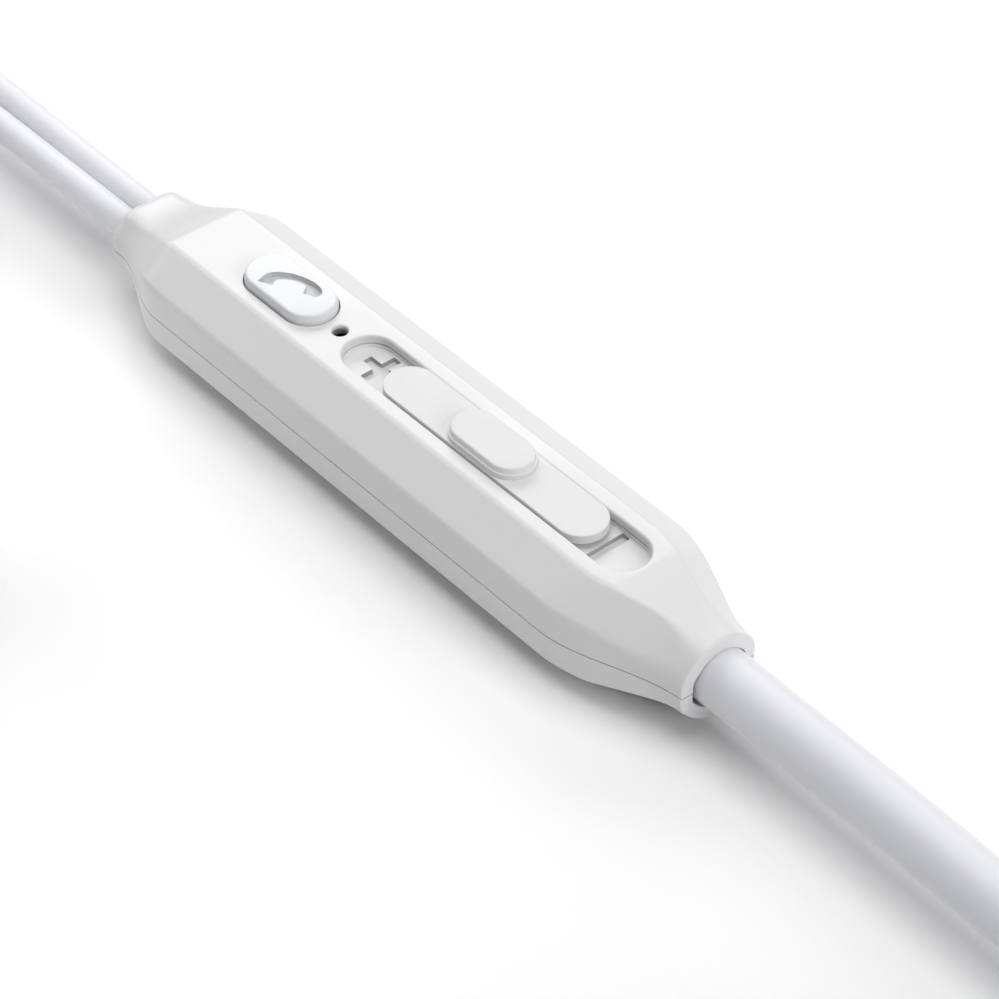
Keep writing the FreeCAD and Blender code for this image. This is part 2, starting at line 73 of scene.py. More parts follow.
# name: (place in metres, width and height in metres, watts); each one faces the origin
SOFT_BOXES = {
    "overhead": ((0, 0, 1.0), (0.8, 0.8), 5.6),
    "behind_left": ((-0.75, 0.65, 0.62), (0.6, 0.5), 4.4),
    "behind_low": ((-0.1, 0.9, 0.45), (0.9, 0.5), 0.6),
    "left": ((-0.85, 0, 0.5), (0.7, 0.6), 3.2),
    "right": ((0.85, 0.1, 0.5), (0.7, 0.6), 5.0),
}
STUDIO_COLOUR = (0.95, 0.97, 1.0, 1)
STUDIO_STRENGTH = 0.03
FLOOR_REACH = 3.0                      # metres from the middle to each side
FLOOR_Z = -0.00004                     # metres, just clear of the lowest cord
FLOOR_COLOUR = (0.98, 0.98, 0.98, 1)
FLOOR_ROUGHNESS = 0.9


def make_camera():
    data = bpy.data.cameras.new("camera")
    data.sensor_width = CAMERA_SENSOR
    data.lens = CAMERA_LENS
    data.clip_start, data.clip_end = CAMERA_CLIP
    camera = bpy.data.objects.new("camera", data)
    camera.location = Vector(CAMERA_PLACE) * MM
    camera.rotation_euler = (math.radians(90 - CAMERA_RISE), 0, math.radians(CAMERA_TURN))
    SCENE.collection.objects.link(camera)
    SCENE.camera = camera


def soft_box(name, place, size, power):
    """A rectangular lamp that faces the origin."""
    data = bpy.data.lights.new(name, "AREA")
    data.shape = "RECTANGLE"
    data.size, data.size_y = size
    data.energy = power
    lamp = bpy.data.objects.new(name, data)
    lamp.location = place
    lamp.rotation_euler = (-Vector(place)).to_track_quat("-Z", "Y").to_euler()
    SCENE.collection.objects.link(lamp)


def make_lights():
    SCENE.view_settings.view_transform = "Standard"
    world = bpy.data.worlds.new("studio")
    world.use_nodes = True
    background = world.node_tree.nodes["Background"]
    background.inputs["Color"].default_value = STUDIO_COLOUR
    background.inputs["Strength"].default_value = STUDIO_STRENGTH
    SCENE.world = world
    for name, (place, size, power) in SOFT_BOXES.items():
        soft_box(name, place, size, power)


def make_floor():
    bm = bmesh.new()
    bmesh.ops.create_grid(bm, x_segments=1, y_segments=1, size=FLOOR_REACH)
    bmesh.ops.translate(bm, vec=(0, 0, FLOOR_Z), verts=bm.verts)
    mesh = bpy.data.meshes.new("floor")
    bm.to_mesh(mesh)
    bm.free()
    floor = bpy.data.objects.new("floor", mesh)
    SCENE.collection.objects.link(floor)
    material = bpy.data.materials.new("white sweep")
    material.use_nodes = True
    shader = material.node_tree.nodes["Principled BSDF"]
    shader.inputs["Base Color"].default_value = FLOOR_COLOUR
    shader.inputs["Roughness"].default_value = FLOOR_ROUGHNESS
    mesh.materials.append(material)


# ---------------------------------------------------------------- materials
FINE_SHARE = 0.35                      # weight of the fine noise beside the slow one in the colour
ROUGH_FROM, ROUGH_TO = 0.3, 0.7        # the slow noise's span between the two roughnesses
WEAVE_SCALE = 1600                     # wave bands of the nozzle mesh


def new_group(name, inputs, outputs):
    """An empty shader group with (name, socket kind, default) inputs and (name, kind) outputs."""
    group = bpy.data.node_groups.new(name, "ShaderNodeTree")
    for label, kind, value in inputs:
        socket = group.interface.new_socket(label, in_out="INPUT", socket_type=kind)
        if value is not None:
            socket.default_value = value
    for label, kind in outputs:
        group.interface.new_socket(label, in_out="OUTPUT", socket_type=kind)
    return group


def grain_group():
    """Moulded grain: fine noise over slow noise, as a colour, a roughness and a height."""
    group = new_group("moulded grain", [
        ("Vector", "NodeSocketVector", None),
        ("Fine scale", "NodeSocketFloat", 9000.0),
        ("Slow scale", "NodeSocketFloat", 120.0),
        ("Colour", "NodeSocketColor", (0.9, 0.9, 0.9, 1)),
        ("Shade", "NodeSocketColor", (0.85, 0.85, 0.85, 1)),
        ("Rough low", "NodeSocketFloat", 0.3),
        ("Rough high", "NodeSocketFloat", 0.4),
    ], [
        ("Colour", "NodeSocketColor"),
        ("Roughness", "NodeSocketFloat"),
        ("Height", "NodeSocketFloat"),
    ])
    nodes, links = group.nodes, group.links
    source = nodes.new("NodeGroupInput")
    result = nodes.new("NodeGroupOutput")
    fine = nodes.new("ShaderNodeTexNoise")
    fine.inputs["Detail"].default_value = 3
    slow = nodes.new("ShaderNodeTexNoise")
    slow.inputs["Detail"].default_value = 2
    mixed = nodes.new("ShaderNodeMath")
    mixed.operation = "MULTIPLY_ADD"
    mixed.inputs[1].default_value = FINE_SHARE
    blend = nodes.new("ShaderNodeMix")
    blend.data_type = "RGBA"
    rough = nodes.new("ShaderNodeMapRange")
    rough.inputs["From Min"].default_value = ROUGH_FROM
    rough.inputs["From Max"].default_value = ROUGH_TO
    links.new(source.outputs["Vector"], fine.inputs["Vector"])
    links.new(source.outputs["Vector"], slow.inputs["Vector"])
    links.new(source.outputs["Fine scale"], fine.inputs["Scale"])
    links.new(source.outputs["Slow scale"], slow.inputs["Scale"])
    links.new(fine.outputs["Fac"], mixed.inputs[0])
    links.new(slow.outputs["Fac"], mixed.inputs[2])
    links.new(mixed.outputs["Value"], blend.inputs["Factor"])
    links.new(source.outputs["Colour"], blend.inputs["A"])
    links.new(source.outputs["Shade"], blend.inputs["B"])
    links.new(slow.outputs["Fac"], rough.inputs["Value"])
    links.new(source.outputs["Rough low"], rough.inputs["To Min"])
    links.new(source.outputs["Rough high"], rough.inputs["To Max"])
    links.new(blend.outputs["Result"], result.inputs["Colour"])
    links.new(rough.outputs["Result"], result.inputs["Roughness"])
    links.new(fine.outputs["Fac"], result.inputs["Height"])
    return group


def finish_material(name, colour, shade, rough, fine=9000.0, slow=120.0, bump=0.1, depth=0.01,
                    **constants):
    """A material whose colour, roughness and bump come from the moulded grain group.

    depth is in millimetres, and constants are set on the shader's own sockets.
    """
    material = bpy.data.materials.new(name)
    material.use_nodes = True
    nodes, links = material.node_tree.nodes, material.node_tree.links
    shader = nodes["Principled BSDF"]
    where = nodes.new("ShaderNodeTexCoord")
    grain = nodes.new("ShaderNodeGroup")
    grain.node_tree = GRAIN
    relief = nodes.new("ShaderNodeBump")
    relief.inputs["Strength"].default_value = bump
    relief.inputs["Distance"].default_value = depth * MM
    grain.inputs["Fine scale"].default_value = fine
    grain.inputs["Slow scale"].default_value = slow
    grain.inputs["Colour"].default_value = (*colour, 1)
    grain.inputs["Shade"].default_value = (*shade, 1)
    grain.inputs["Rough low"].default_value = rough[0]
    grain.inputs["Rough high"].default_value = rough[1]
    links.new(where.outputs["Object"], grain.inputs["Vector"])
    links.new(grain.outputs["Colour"], shader.inputs["Base Color"])
    links.new(grain.outputs["Roughness"], shader.inputs["Roughness"])
    links.new(grain.outputs["Height"], relief.inputs["Height"])
    links.new(relief.outputs["Normal"], shader.inputs["Normal"])
    for socket, value in constants.items():
        shader.inputs[socket.replace("_", " ")].default_value = value
    return material


def make_materials():
    """Each finish by its material slot's name: colour, shade, roughness span and grain."""
    return {
        "shell": finish_material(
            "satin white shell", (0.758, 0.758, 0.764), (0.740, 0.740, 0.747), (0.30, 0.36),
            fine=6000, slow=90, bump=0.04, depth=0.004),
        "button": finish_material(
            "cool white button", (0.800, 0.812, 0.828), (0.785, 0.797, 0.815), (0.34, 0.40),
            fine=6000, slow=200, bump=0.04, depth=0.004),
        # painted shade: the button sign's sunk walls and floor get this grey for the shade in the
        # recess
        "sign": finish_material(
            "sign recess painted shade", (0.66, 0.67, 0.68), (0.63, 0.64, 0.65), (0.45, 0.55),
            fine=9000, slow=200, bump=0.10, depth=0.004),
        # painted shade: the plus's and minus's walls get this darker grey for the shade that falls
        # in the engraving
        "engraving_painted_shade": finish_material(
            "painted shade engraved wall", (0.45, 0.454, 0.46), (0.42, 0.424, 0.43), (0.5, 0.6),
            fine=9000, slow=200, bump=0.10, depth=0.004),
        "slider": finish_material(
            "fine matt slider", (0.785, 0.787, 0.793), (0.750, 0.753, 0.760), (0.50, 0.62),
            fine=14000, slow=400, bump=0.30, depth=0.010),
        "tray": finish_material(
            "matt tray", (0.795, 0.793, 0.792), (0.770, 0.770, 0.771), (0.48, 0.56),
            fine=9000, slow=200, bump=0.12, depth=0.006),
        "cord": finish_material(
            "white cord jacket", (0.785, 0.789, 0.815), (0.755, 0.760, 0.790), (0.38, 0.48),
            fine=3500, slow=60, bump=0.08, depth=0.010, Sheen_Weight=0.25,
            Subsurface_Weight=0.5, Subsurface_Radius=(1, 1, 1), Subsurface_Scale=0.0012),
        "tie": finish_material(
            "white silicone strap", (0.80, 0.80, 0.81), (0.75, 0.75, 0.76), (0.50, 0.62),
            fine=7000, slow=150, bump=0.25, depth=0.010),
        "plug_metal": finish_material(
            "plated contact", (0.86, 0.72, 0.42), (0.80, 0.65, 0.36), (0.16, 0.26),
            fine=12000, slow=300, bump=0.05, depth=0.002, Metallic=1.0),
        "insulator": finish_material(
            "contact insulator", (0.62, 0.62, 0.62), (0.55, 0.55, 0.55), (0.40, 0.50)),
        "ear_silicone": finish_material(
            "soft white silicone", (0.86, 0.86, 0.87), (0.82, 0.82, 0.83), (0.42, 0.52),
            fine=5000, slow=100, bump=0.08, depth=0.008,
            Subsurface_Weight=0.25, Subsurface_Radius=(1, 1, 1), Subsurface_Scale=0.0008),
        "inner_plastic": finish_material(
            "dark moulding", (0.24, 0.24, 0.235), (0.19, 0.19, 0.185), (0.45, 0.60)),
        "board": finish_material(
            "solder mask", (0.04, 0.20, 0.09), (0.03, 0.15, 0.06), (0.30, 0.45)),
        "wire": finish_material(
            "enamelled wire", (0.55, 0.18, 0.09), (0.45, 0.13, 0.06), (0.30, 0.40)),
        "capsule": finish_material(
            "drawn can", (0.75, 0.75, 0.76), (0.66, 0.66, 0.67), (0.25, 0.35), Metallic=1.0),
        "diaphragm": finish_material(
            "thin film", (0.72, 0.69, 0.55), (0.66, 0.62, 0.48), (0.20, 0.30)),
        "magnet": finish_material(
            "plated magnet", (0.60, 0.60, 0.61), (0.50, 0.50, 0.52), (0.20, 0.30), Metallic=1.0),
        "mesh": mesh_material(),
    }


def mesh_material():
    """Woven nozzle mesh: two sets of wires from wave bands across each other."""
    material = finish_material(
        "woven mesh", (0.55, 0.55, 0.57), (0.48, 0.48, 0.50), (0.30, 0.40), Metallic=1.0)
    nodes, links = material.node_tree.nodes, material.node_tree.links
    shader = nodes["Principled BSDF"]
    where = nodes.new("ShaderNodeTexCoord")
    bands = []
    for direction in ("Y", "Z"):
        wave = nodes.new("ShaderNodeTexWave")
        wave.bands_direction = direction
        wave.inputs["Scale"].default_value = WEAVE_SCALE
        links.new(where.outputs["Object"], wave.inputs["Vector"])
        bands.append(wave)
    crossed = nodes.new("ShaderNodeMath")
    crossed.operation = "MAXIMUM"
    links.new(bands[0].outputs["Fac"], crossed.inputs[0])
    links.new(bands[1].outputs["Fac"], crossed.inputs[1])
    tint = nodes.new("ShaderNodeMix")
    tint.data_type = "RGBA"
    tint.inputs["A"].default_value = (0.05, 0.05, 0.05, 1)
    tint.inputs["B"].default_value = (0.60, 0.60, 0.62, 1)
    links.new(crossed.outputs["Value"], tint.inputs["Factor"])
    links.new(tint.outputs["Result"], shader.inputs["Base Color"])
    return material


# ---------------------------------------------------------------- mesh helpers
STRAIGHT_ENOUGH = 0.01                 # a corner that turns by less than this, in radians, stays
SIDE_SHARE = 0.499                     # most of a side that one corner's rounding may take
WELD = 0.0005                          # points closer than this are one
ON_PLANE = 1e-4
NEAR_ROUND = 0.0001                    # a round is an oval this much longer, so no side is empty
SHARP_ANGLE = 38.0                     # degrees between faces from which an edge is drawn sharp


def chain(bm, points, closed=False):
    """Vertices joined in order by edges; returns the edges."""
    verts = [bm.verts.new(p) for p in points]
    edges = [bm.edges.new(pair) for pair in zip(verts, verts[1:])]
    if closed:
        edges.append(bm.edges.new((verts[-1], verts[0])))
    return edges


def skin(bm, rows, closed=False):
    """Each row of points bridged to the next; returns the first and the last row's edges."""
    chains = [chain(bm, row, closed) for row in rows]
    for here, there in zip(chains, chains[1:]):
        bmesh.ops.bridge_loops(bm, edges=here + there)
    return chains[0], chains[-1]


def fill(bm, edges, normal=(0, 0, 1)):
    """A flat region inside its outer edges and round its inner ones."""
    bmesh.ops.triangle_fill(bm, use_beauty=True, use_dissolve=False, edges=edges, normal=normal)


def corner_arc(before, corner, after, radius, steps):
    """The arc that rounds one corner of an outline, as large as asked or as its two sides allow."""
    corner = Vector(corner)
    back = Vector(before) - corner
    ahead = Vector(after) - corner
    turn = math.pi - back.angle(ahead)
    if turn < STRAIGHT_ENOUGH:
        return [corner]
    slope = math.tan(turn / 2)
    reach = min(radius * slope, SIDE_SHARE * back.length, SIDE_SHARE * ahead.length)
    start = corner + back.normalized() * reach
    inward = (back.normalized() + ahead.normalized()).normalized()
    centre = corner + inward * (reach / slope / math.cos(turn / 2))
    crossing = back.x * ahead.y - back.y * ahead.x
    spin = -math.copysign(turn, crossing)
    return [centre + Matrix.Rotation(spin * i / steps, 2) @ (start - centre)
            for i in range(steps + 1)]


def rounded(corners, radii, steps=8):
    """An open outline with its inner corners rounded, each by its own radius, or all by one."""
    if not hasattr(radii, "__len__"):
        radii = [radii] * (len(corners) - 2)
    line = [Vector(corners[0])]
    for before, corner, after, radius in zip(corners, corners[1:], corners[2:], radii):
        line += corner_arc(before, corner, after, radius, steps)
    return line + [Vector(corners[-1])]


def rounded_loop(corners, radii, steps=6):
    """A closed outline with each corner rounded by its own radius, or all by one."""
    count = len(corners)
    if not hasattr(radii, "__len__"):
        radii = [radii] * count
    line = []
    for i in range(count):
        line += corner_arc(corners[i - 1], corners[i], corners[(i + 1) % count], radii[i], steps)
    return line


def stadium(x, y, length, width, steps=24):
    """A closed oval outline with straight sides along X."""
    r = width / 2
    half = length / 2 - r
    line = []
    for side in (1, -1):
        for i in range(steps + 1):
            angle = side * math.pi / 2 - math.pi * i / steps
            line.append(Vector((x + side * half + r * math.cos(angle), y + r * math.sin(angle))))
    return line


def round_line(x, y, diameter):
    """The same for a round."""
    return stadium(x, y, diameter + NEAR_ROUND, diameter)


def at_height(line, z):
    return [(p.x, p.y, z) for p in line]


def oval_rows(outline, profile):
    """Rows of one oval (x, y, length, width) at (inset, height) steps."""
    x, y, length, width = outline
    return [at_height(stadium(x, y, length - 2 * inset, width - 2 * inset), z)
            for inset, z in profile]


def rim_profile(inset, top, radius, steps=6):
    """(inset, height) steps of a rounded upper rim that ends flat at the top."""
    angles = [math.pi / 2 * i / steps for i in range(steps + 1)]
    return [(inset + radius * (1 - math.cos(a)), top - radius * (1 - math.sin(a))) for a in angles]


def quarter(radius, steps=6):
    """(inwards, downwards) steps of a rounded rim, from the flat to the wall."""
    angles = [math.pi / 2 * i / steps for i in range(steps + 1)]
    return [(radius * math.sin(a), radius * (1 - math.cos(a))) for a in angles]


def make_piece(name, bm, body, finish, stands_for=()):
    """The finished mesh as an object at the origin, riding on a body."""
    bmesh.ops.remove_doubles(bm, verts=bm.verts, dist=WELD)
    bmesh.ops.recalc_face_normals(bm, faces=bm.faces)
    bmesh.ops.scale(bm, vec=(MM, MM, MM), verts=bm.verts)
    mesh = bpy.data.meshes.new(name)
    bm.to_mesh(mesh)
    bm.free()
    mesh.materials.append(FINISH[finish])
    mesh.shade_smooth()
    mesh.set_sharp_from_angle(angle=math.radians(SHARP_ANGLE))
    piece = bpy.data.objects.new(name, mesh)
    SCENE.collection.objects.link(piece)
    even = piece.modifiers.new("even shading", "WEIGHTED_NORMAL")
    even.keep_sharp = True
    even.weight = 80                   # the modifier's own scale, where 50 is plain
    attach(piece, body)
    if stands_for:
        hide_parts(*stands_for)
    return piece


# ---------------------------------------------------------------- cords
MAIN_DIAMETER = 2.80
EAR_DIAMETER = 1.50
TIE_LIFT = 0.35                        # the turns lie on the strap where it passes below them

MAIN_ROUTE = [(13.4, 0.03, 2.98), (25.5, 0.03, 2.96), (38, -0.1, 2.78), (50, 0, 1.6), (60, 0, 1.4)]
MAIN_TAIL_ROUTE = [
    (83.4, -19.6, 7.0), (72.4, -19.5, 7.2), (62.4, -20.8, 8.9), (53.4, -21.2, 9.8),
    (47.5, -15.3, 10.2), (47.5, -7.1, 10.9), (52.4, -1.5, 12.0), (56.4, -1.2, 12.2),
    (61.7, -1.2, 12.2),
]
LEFT_ROUTE = [
    (-14.6, 0.76, 2.93), (-24.6, 0.76, 2.93), (-35, 0.75, 3.05), (-40, 0.5, 3.6), (-44.5, 0, 3.75),
]
RIGHT_ROUTE = [
    (-14.6, -0.76, 2.93), (-24.6, -0.76, 2.93), (-35, -0.75, 2.8), (-40, -0.5, 2.3),
    (-44.5, 0, 2.25),
]
LEFT_TAIL_ROUTE = [
    (-47, 0, 5.25), (-55, -0.1, 5.2), (-60.8, -1.2, 3.7), (-65.5, -2, 2.86), (-70.5, -2, 3.56),
    (-74, -2, 4.05),
]
RIGHT_TAIL_ROUTE = [
    (-51, -15, 0.75), (-44.5, -15.2, 0.76), (-40, -17.4, 1.0), (-36.6, -18.5, 2.83),
    (-31.5, -18.5, 3.54), (-27.9, -18.5, 4.05),
]

# near, far: x of the loops' middles; y: the hank's middle; inner: radius of the innermost turn's
# line; tie: x of the strap
MAIN_HANK = {
    "near": 57.4, "far": 91.0, "y": -11.2, "inner": 8.4, "tie": 79.4, "diameter": MAIN_DIAMETER}
EAR_HANK = {
    "near": -40.0, "far": -53.0, "y": -7.5, "inner": 4.5, "tie": -46.5, "diameter": EAR_DIAMETER}

# the places of successive turns: (how many diameters out from the innermost, how many up)
MAIN_TURNS = [(1, 0), (0, 0), (0, 1), (1, 1), (1, 2), (0, 2)]
LEFT_TURNS = [(2, 0), (1, 0), (0, 0), (0, 1), (1, 1), (2, 1)]
RIGHT_TURNS = [(2, 1), (1, 1), (0, 1), (0, 0), (1, 0), (2, 0)]
LOOP_POINTS = 8                        # control points round half a turn
CLIMB_SWING = 0.45                     # diameters that a turn swings out by while it climbs a layer
SHIFT_LIFT = 0.20                      # diameters that it rises by while it moves across one
CORD_STEPS = 6                         # points of the smooth line for each control point
CORD_BEVEL = 9                         # the roundness of a cord's section


def half_loop(hank, centre_x, first_angle, base, here, there):
    """Control points round one end of a hank, moving from one turn's place to the next one's."""
    heading = math.copysign(1, hank["far"] - hank["near"])
    d = hank["diameter"]
    step = math.pi / LOOP_POINTS
    climbs = here[1] != there[1]
    moves = here != there
    points = []
    for k in range(LOOP_POINTS):
        share = (k + 0.5) / LOOP_POINTS
        eased = share * share * (3 - 2 * share)
        out = here[0] + (there[0] - here[0]) * eased
        up = here[1] + (there[1] - here[1]) * eased
        clear = math.sin(math.pi * share)
        if climbs:
            out += CLIMB_SWING * clear * (1 if here[0] > 0 else -1)
        elif moves:
            up += SHIFT_LIFT * clear
        radius = (hank["inner"] + out * d) / math.cos(step / 2)
        angle = first_angle + (k + 0.5) * step
        x = centre_x + heading * radius * math.sin(angle)
        y = hank["y"] + radius * math.cos(angle)
        points.append((x, y, base + (up + 0.5) * d))
    return points


def tie_crossing(hank, side, base, place):
    """Where a run passes over the strap, a little raised."""
    d = hank["diameter"]
    y = hank["y"] + side * (hank["inner"] + place[0] * d)
    return (hank["tie"], y, base + (place[1] + 0.5) * d + TIE_LIFT)


def wind(hank, turns, base, half_turn=False):
    """Control points of a hank's turns: far loop, run back, near loop, run out, and so on."""
    points = []
    for here, there in zip(turns, turns[1:]):
        points += half_loop(hank, hank["far"], 0, base, here, here)
        points.append(tie_crossing(hank, -1, base, here))
        points += half_loop(hank, hank["near"], math.pi, base, here, there)
        points.append(tie_crossing(hank, 1, base, there))
    if half_turn:
        points += half_loop(hank, hank["far"], 0, base, turns[-1], turns[-1])
    else:
        points.pop()
    return points


def make_cord(name, points, diameter):
    """One open smooth spline, in place of the cord's three CAD solids of the same first name."""
    data = bpy.data.curves.new(name + "_line", "CURVE")
    data.dimensions = "3D"
    data.resolution_u = CORD_STEPS
    data.bevel_depth = diameter / 2 * MM
    data.bevel_resolution = CORD_BEVEL
    data.use_fill_caps = True
    spline = data.splines.new("NURBS")
    spline.points.add(len(points) - 1)
    for knot, point in zip(spline.points, points):
        knot.co = (*(c * MM for c in point), 1)
    spline.order_u = 3
    spline.use_endpoint_u = True
    data.materials.append(FINISH["cord"])
    piece = bpy.data.objects.new(name + "_line", data)
    SCENE.collection.objects.link(piece)
    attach(piece, "remote")
    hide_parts(name, name + "_hank", name + "_tail")
    return piece


def line_length(piece):
    """Length in metres of a cord's own line."""
    bare = piece.data.copy()
    bare.bevel_depth = 0
    holder = bpy.data.objects.new("bare", bare)
    mesh = bpy.data.meshes.new_from_object(holder)
    places = [v.co.copy() for v in mesh.vertices]
    bpy.data.objects.remove(holder)
    bpy.data.meshes.remove(mesh)
    bpy.data.curves.remove(bare)
    return sum((b - a).length for a, b in zip(places, places[1:]))


def make_cords():
    main = MAIN_ROUTE + wind(MAIN_HANK, MAIN_TURNS, 0, half_turn=True) + MAIN_TAIL_ROUTE
    left = LEFT_ROUTE + wind(EAR_HANK, LEFT_TURNS, 2 * EAR_DIAMETER) + LEFT_TAIL_ROUTE
    right = RIGHT_ROUTE + wind(EAR_HANK, RIGHT_TURNS, 0, half_turn=True) + RIGHT_TAIL_ROUTE
    return {
        "main": make_cord("main_cord", main, MAIN_DIAMETER),
        "left": make_cord("left_cord", left, EAR_DIAMETER),
        "right": make_cord("right_cord", right, EAR_DIAMETER),
    }


# ---------------------------------------------------------------- remote: the two shells
SEAM_Z = extent("lower_shell")[1].z
TOP_Z = extent("upper_shell")[1].z
END_X = extent("upper_shell")[1].x
WALL = 0.40                            # under the top face
SEAM_GAP = 0.030                       # half of the fine gap between the shells
TOP_EDGE_RADIUS = 0.60
SIDE_EDGE_RADIUS = 0.45
FLAT_FROM, FLAT_TO = -15.2, 15.35      # the top face is flat between these
EAR_BORE_END = -16.1                   # the hollow inside lies between the two cord bores
MAIN_BORE_START = 15.5
BORE_STEP = 0.01
EAR_TAPER, MAIN_TAPER = 13.5, 13.0     # how far from the middle the close cross-sections begin
TAPER_STEPS = 26
BODY_PLACES = [-9, -4.5, 0, 4.5, 9]
RIM_SHARES = (0.35, 0.65, 0.87, 1.0)
LOWER_DROP = 1.43 / 1.63               # height of the lower shell's side beside the upper one's
MAIN_BORE = 1.50                       # radii
EAR_BORE = 0.78
EAR_OFFSET = 0.76                      # each ear cord's axis from the middle
RING_X = 19.85                         # where the rim of the ring round the main cord begins
RING_INNER = 1.56
RIM = 0.125                            # rounding of the rims at both ends

SLOT = {"x": 5.37, "y": 0, "length": 19.46, "width": 2.55}
BUTTON_HOLE = {"x": middle("call_button").x, "y": 0, "length": 5.48, "width": 2.85}
MIC_HOLE = {"x": middle("microphone_boot").x, "y": 0, "length": 0.74 + NEAR_ROUND, "width": 0.74}
HOLE_LIPS = ((SLOT, 0.12), (BUTTON_HOLE, 0.03), (MIC_HOLE, 0.10))
FLAT_RING = 0.02                       # round each hole's lip


def ramp(x, start, end):
    """0 before start, 1 after end, smooth between."""
    u = min(1.0, max(0.0, (x - start) / (end - start)))
    return u * u * (3 - 2 * u)


def swell(x):
    """A slow rise and fall over the taper at the main cord's end."""
    return ramp(x, 13.8, 15.6) * (1 - ramp(x, 17.6, 19.6))


def soft_least(a, b, blend):
    """The lesser of two heights, with the crease between them rounded."""
    share = max(0.0, blend - abs(a - b)) / blend
    return min(a, b) - share * share * blend / 4


def shell_form(x):
    """Half width, side's height, top face's half width, height and the edges' radii at x."""
    width = 3.92 - 1.56 * ramp(-x, 14.3, 19.3) - 1.82 * ramp(x, 13.0, 20.2)
    side = 1.63 - 1.01 * ramp(-x, 14.6, 19.6) - 0.75 * ramp(x, 13.5, 19.5) + 0.10 * swell(x)
    top_half = 2.05 - 0.75 * ramp(-x, 15.0, 19.0) - 1.17 * ramp(x, 13.6, 18.8)
    top = TOP_Z - SEAM_Z
    if x < FLAT_FROM:
        sweep = (END_X + x) / 4.5
        top = soft_least(top, top - 1.13 * (1 - sweep * sweep), 0.15)
    if x > FLAT_TO:
        top -= 0.775 * ramp(x, 14.6, 20.5) - 0.0335
    top_radius = TOP_EDGE_RADIUS + 0.35 * ramp(-x, 15.6, 18.6) + 1.55 * ramp(x, 17.4, 19.8)
    side_radius = SIDE_EDGE_RADIUS + 0.5 * ramp(-x, 15.6, 18.6) + 1.70 * ramp(x, 17.0, 19.8)
    return width, side, top_half, top, (side_radius, top_radius, top_radius, side_radius)


def bore_form(half_width, height):
    """The same five values for a round-ended hole through the seam."""
    side = 0.414 * height
    return half_width, side, half_width - height + side, height, height


def inner_form(x):
    """The same for the inside: a cord's bore at each end, and the hollow between."""
    if x <= EAR_BORE_END:
        return bore_form(EAR_OFFSET + EAR_BORE, EAR_BORE)
    if x > MAIN_BORE_START:
        return bore_form(MAIN_BORE, MAIN_BORE)
    width, side, top_half, top = shell_form(x)[:4]
    return width - 0.57, side - 0.29, top_half - 0.25, top - WALL, 0.1


def section(x, form, sign, drop, lead=None):
    """One cross-section from seam to seam.

    sign is 1 above the seam and -1 below, drop scales the side's height, and lead is how far from
    the middle the seam's flat rim begins.
    """
    width, side, top_half, top, radius = form
    if drop < 1:
        side = side * drop + 0.10 * swell(x)
    corners = [(-width, SEAM_GAP), (-width, side), (-top_half, top),
               (top_half, top), (width, side), (width, SEAM_GAP)]
    line = rounded(corners, radius)
    if lead is not None:
        line = [Vector((-lead, SEAM_GAP))] + line + [Vector((lead, SEAM_GAP))]
    return [(x, p.x, SEAM_Z + sign * p.y) for p in line]


def shell_rows(sign, drop):
    """Outer and inner cross-sections along the shell."""
    shares = [i / TAPER_STEPS for i in range(TAPER_STEPS + 1)]
    places = [-END_X + (END_X - EAR_TAPER) * share for share in shares]
    places += [MAIN_TAPER + (RING_X - MAIN_TAPER) * share for share in shares]
    places += [RING_X + RIM * share for share in RIM_SHARES]
    places += [FLAT_FROM, FLAT_TO, EAR_BORE_END, EAR_BORE_END + BORE_STEP]
    places += [MAIN_BORE_START, MAIN_BORE_START + BORE_STEP] + BODY_PLACES
    places = sorted(set(round(x, 4) for x in places))
    outer = []
    inner = []
    for x in places:
        form = shell_form(x)
        lead = inner_form(x)[0]
        from_end = END_X + x
        past = max(RIM - from_end, x - RING_X)
        if past > 0:                   # both ends have a rounded rim
            inset = RIM - math.sqrt(max(0.0, RIM * RIM - past * past))
            form = (form[0] - inset, form[1], form[2] - inset * 0.4, form[3] - inset, form[4])
        outer.append(section(x, form, sign, drop, lead))
        inner.append(section(x, inner_form(x), sign, drop))
    for x, reach in ((END_X - 0.02, RING_INNER + 0.03), (END_X, RING_INNER)):
        outer.append(section(x, bore_form(reach, reach), sign, 1.0, MAIN_BORE))
        inner.append(section(x, inner_form(x), sign, 1.0))
    return outer, inner


def open_flat(bm, z):
    """Takes away the flat face at height z and returns the edges that lay round it."""
    flat = [f for f in bm.faces if all(abs(v.co.z - z) < ON_PLANE for v in f.verts)]
    inside = set(flat)
    rim = [e for f in flat for e in f.edges if sum(g in inside for g in e.link_faces) == 1]
    bmesh.ops.delete(bm, geom=flat, context="FACES")
    return list(set(rim))


def hole_rim(bm, hole, lip, top, bottom):
    """A hole's wall from a flat ring on the face, over a rounded lip, down to the underside."""
    outline = (hole["x"], hole["y"], hole["length"], hole["width"])
    profile = [(-FLAT_RING - lip, top)]
    profile += [(inward - lip, top - down) for inward, down in quarter(lip)]
    rows = oval_rows(outline, profile + [(0, bottom)])
    return skin(bm, rows, closed=True)


